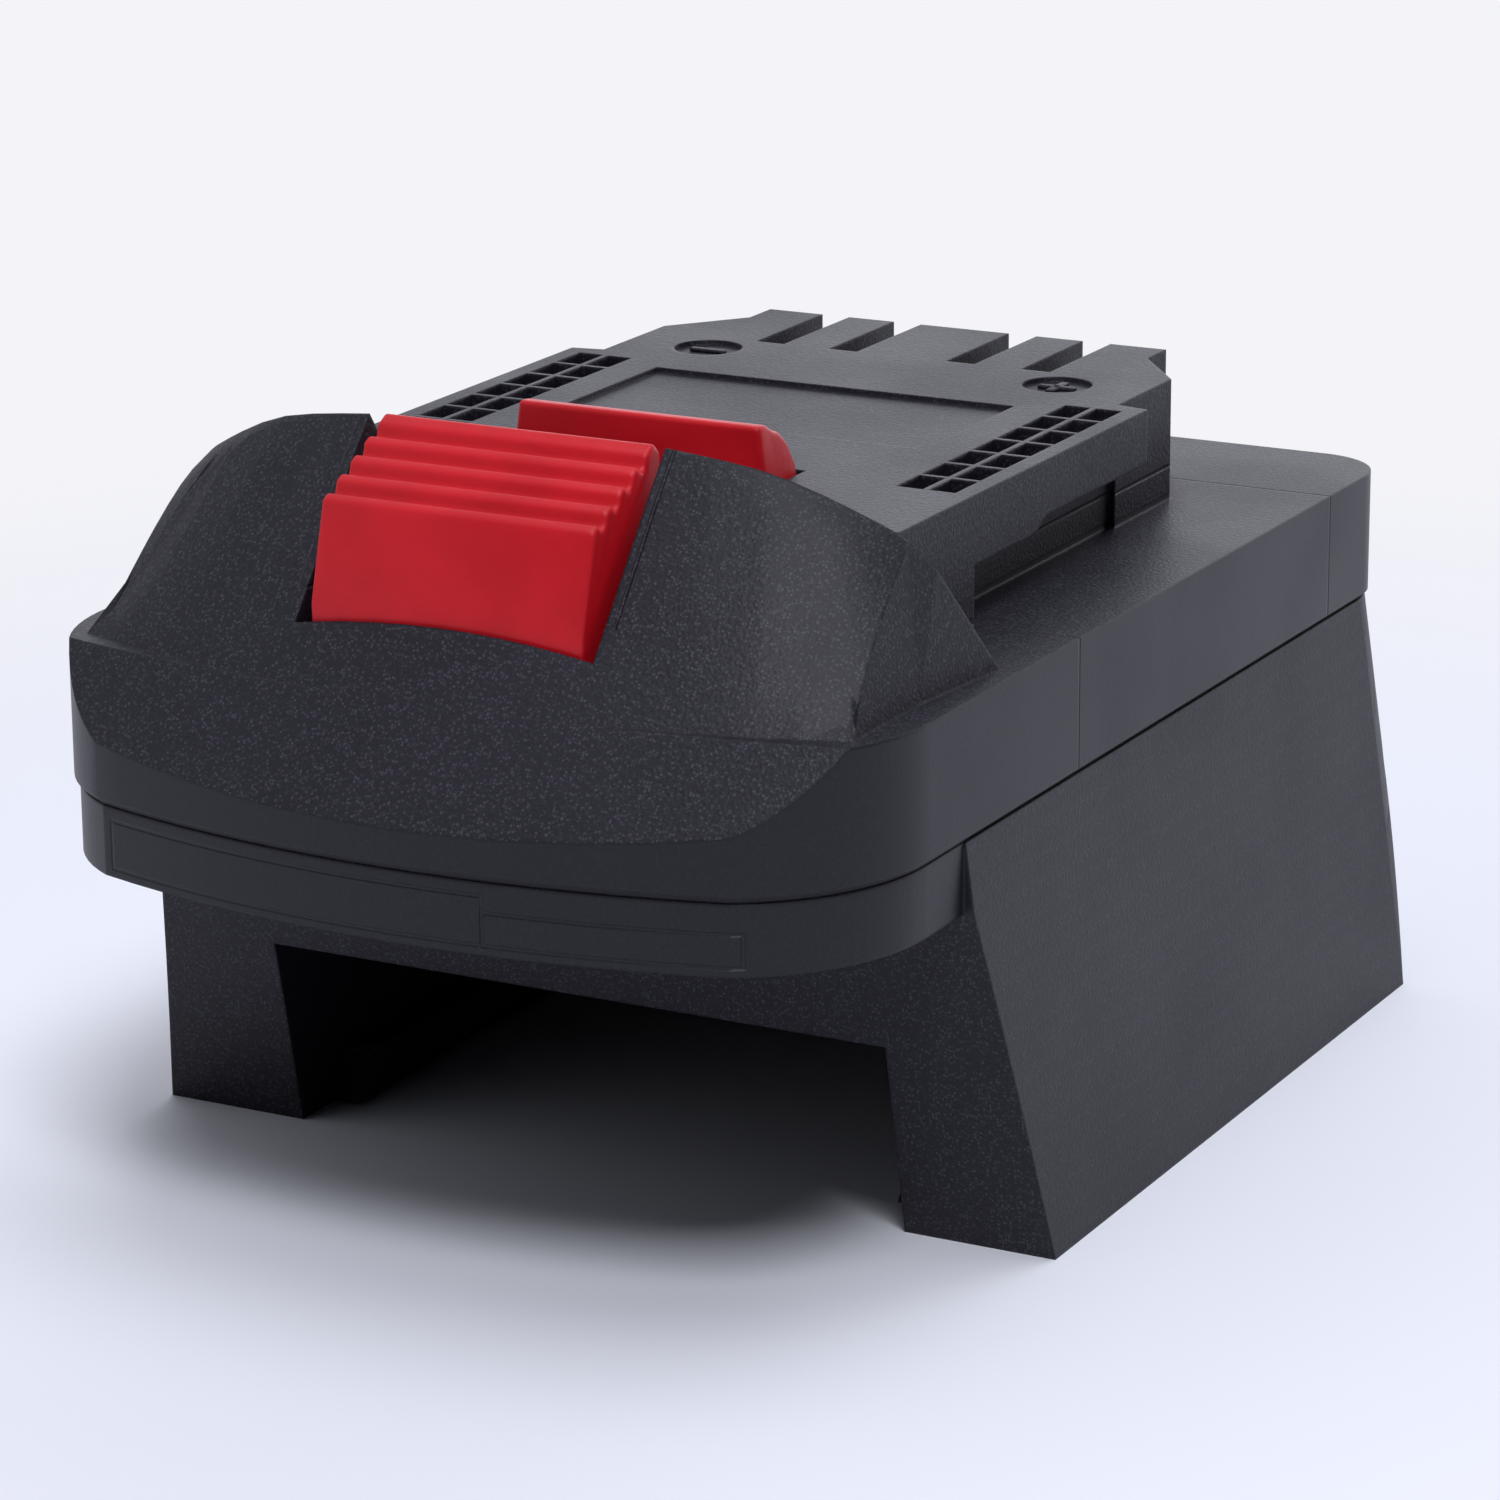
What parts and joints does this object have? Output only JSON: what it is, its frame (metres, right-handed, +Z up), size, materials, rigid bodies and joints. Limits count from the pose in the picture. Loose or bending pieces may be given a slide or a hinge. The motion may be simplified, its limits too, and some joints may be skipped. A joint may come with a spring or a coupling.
{
  "type": "tool battery adapter",
  "caption": "Slide-on adapter that lets a power tool take another make's battery, with a railed contact deck, a red sprung release button and tongue, and a battery channel below.",
  "frame": {"origin": "bottom centre of the bounding box, on the surface that the feet stand on", "axes": "X is width, right as seen from the button; Y is length from the button at -Y to the terminal slots at +Y; Z is up"},
  "size_m": [0.0768, 0.104, 0.0599],
  "materials": {
    "black_shell": "fine spark-eroded black plastic",
    "red_latch": "moulded red plastic with a soft sheen",
    "spring_steel": "drawn spring wire",
    "dark_carrier": "glass-filled dark plastic",
    "contact_metal": "plated copper alloy strip",
    "board": "green solder mask on glass-fibre board",
    "lead_black": "soft black insulation",
    "lead_red": "soft red insulation",
    "screw_steel": "zinc plated steel"
  },
  "bodies": {
    "shell": {"upper_housing": "black_shell", "lower_housing": "black_shell", "spring_left": "spring_steel", "spring_right": "spring_steel", "contact_carrier": "dark_carrier", "contact_signal": "contact_metal", "contact_minus": "contact_metal", "contact_sense": "contact_metal", "contact_plus": "contact_metal", "circuit_board": "board", "terminal_holder": "dark_carrier", "blade_minus": "contact_metal", "blade_plus": "contact_metal", "blade_signal": "contact_metal", "lead_minus": "lead_black", "lead_plus": "lead_red", "screw_front_left": "screw_steel", "screw_front_right": "screw_steel", "screw_rear_left": "screw_steel", "screw_rear_right": "screw_steel", "board_screw_left": "screw_steel", "board_screw_right": "screw_steel"},
    "latch": {"latch": "red_latch"}
  },
  "joints": [
    {"name": "latch_press", "type": "slide", "parent": "shell", "child": "latch", "axis": [0, 0, -1], "range_m": [0, 0.005], "stiffness_N_per_m": 1200, "springref_m": -0.003, "deforming": ["spring_left", "spring_right"]}
  ]
}
